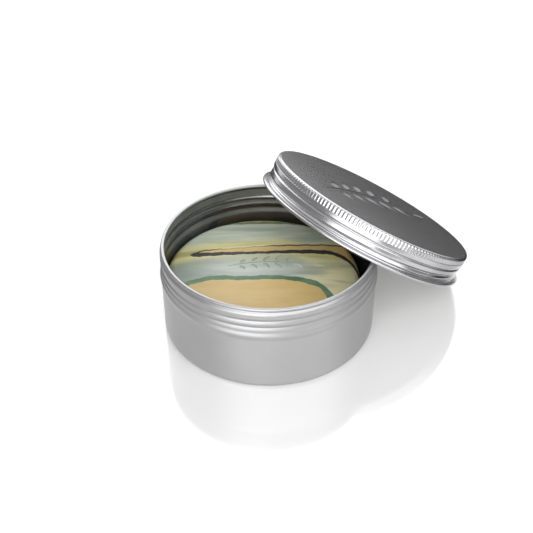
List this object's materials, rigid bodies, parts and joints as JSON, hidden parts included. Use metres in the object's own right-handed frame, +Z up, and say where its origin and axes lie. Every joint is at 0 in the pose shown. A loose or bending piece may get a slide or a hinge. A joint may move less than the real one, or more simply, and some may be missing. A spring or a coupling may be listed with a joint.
{
  "type": "shaving soap in a screw-top tin",
  "caption": "Round marbled shaving soap in a threaded aluminium travel tin, with its knurled screw lid leaning on the rim.",
  "frame": {"origin": "centre of the tin's flat underside", "axes": "+Z up along the tin's axis; +X horizontal, the way the leaning lid faces; +Y completes the right-handed frame"},
  "size_m": [0.1311, 0.091, 0.0564],
  "materials": {
    "tin_aluminium": "satin, spun and drawn sheet",
    "lid_aluminium": "satin, spun and drawn sheet",
    "liner_foam": "fine closed-cell foam",
    "tan_soap": "waxy, satin",
    "green_soap": "waxy, satin",
    "celadon_soap": "waxy, satin",
    "charcoal_soap": "waxy, satin",
    "streak_soap": "waxy, satin",
    "olive_soap": "waxy, satin",
    "grey_soap": "waxy, satin"
  },
  "bodies": {
    "tin": {"tin_base": "tin_aluminium"},
    "lid_insert": {"lid_liner": "liner_foam"},
    "lid": {"lid_shell": "lid_aluminium"},
    "soap": {"soap_tan_front": "tan_soap", "soap_green_vein_front": "green_soap", "soap_pale_core": "celadon_soap", "soap_charcoal_vein": "charcoal_soap", "soap_tan_streak": "streak_soap", "soap_olive_layer": "olive_soap", "soap_grey_back": "grey_soap", "soap_green_vein_back": "green_soap", "soap_tan_back": "tan_soap"}
  },
  "joints": [
    {"name": "lid_lift", "type": "slide", "parent": "tin", "child": "lid_insert", "axis": [0, 0, 1], "range_m": [0, 0.1]},
    {"name": "lid_turn", "type": "hinge", "parent": "lid_insert", "child": "lid", "pos_m": [0.04638, 0.00418, 0.02357], "axis": [0.5289, 0, 0.8487], "continuous": true},
    {"name": "soap_lift", "type": "slide", "parent": "tin", "child": "soap", "axis": [0.077, -0.0466, 0.9959], "range_m": [0, 0.05]}
  ],
  "couplings": [
    {"joint": "soap_lift", "follows": "lid_lift", "ratio": 0.5}
  ]
}
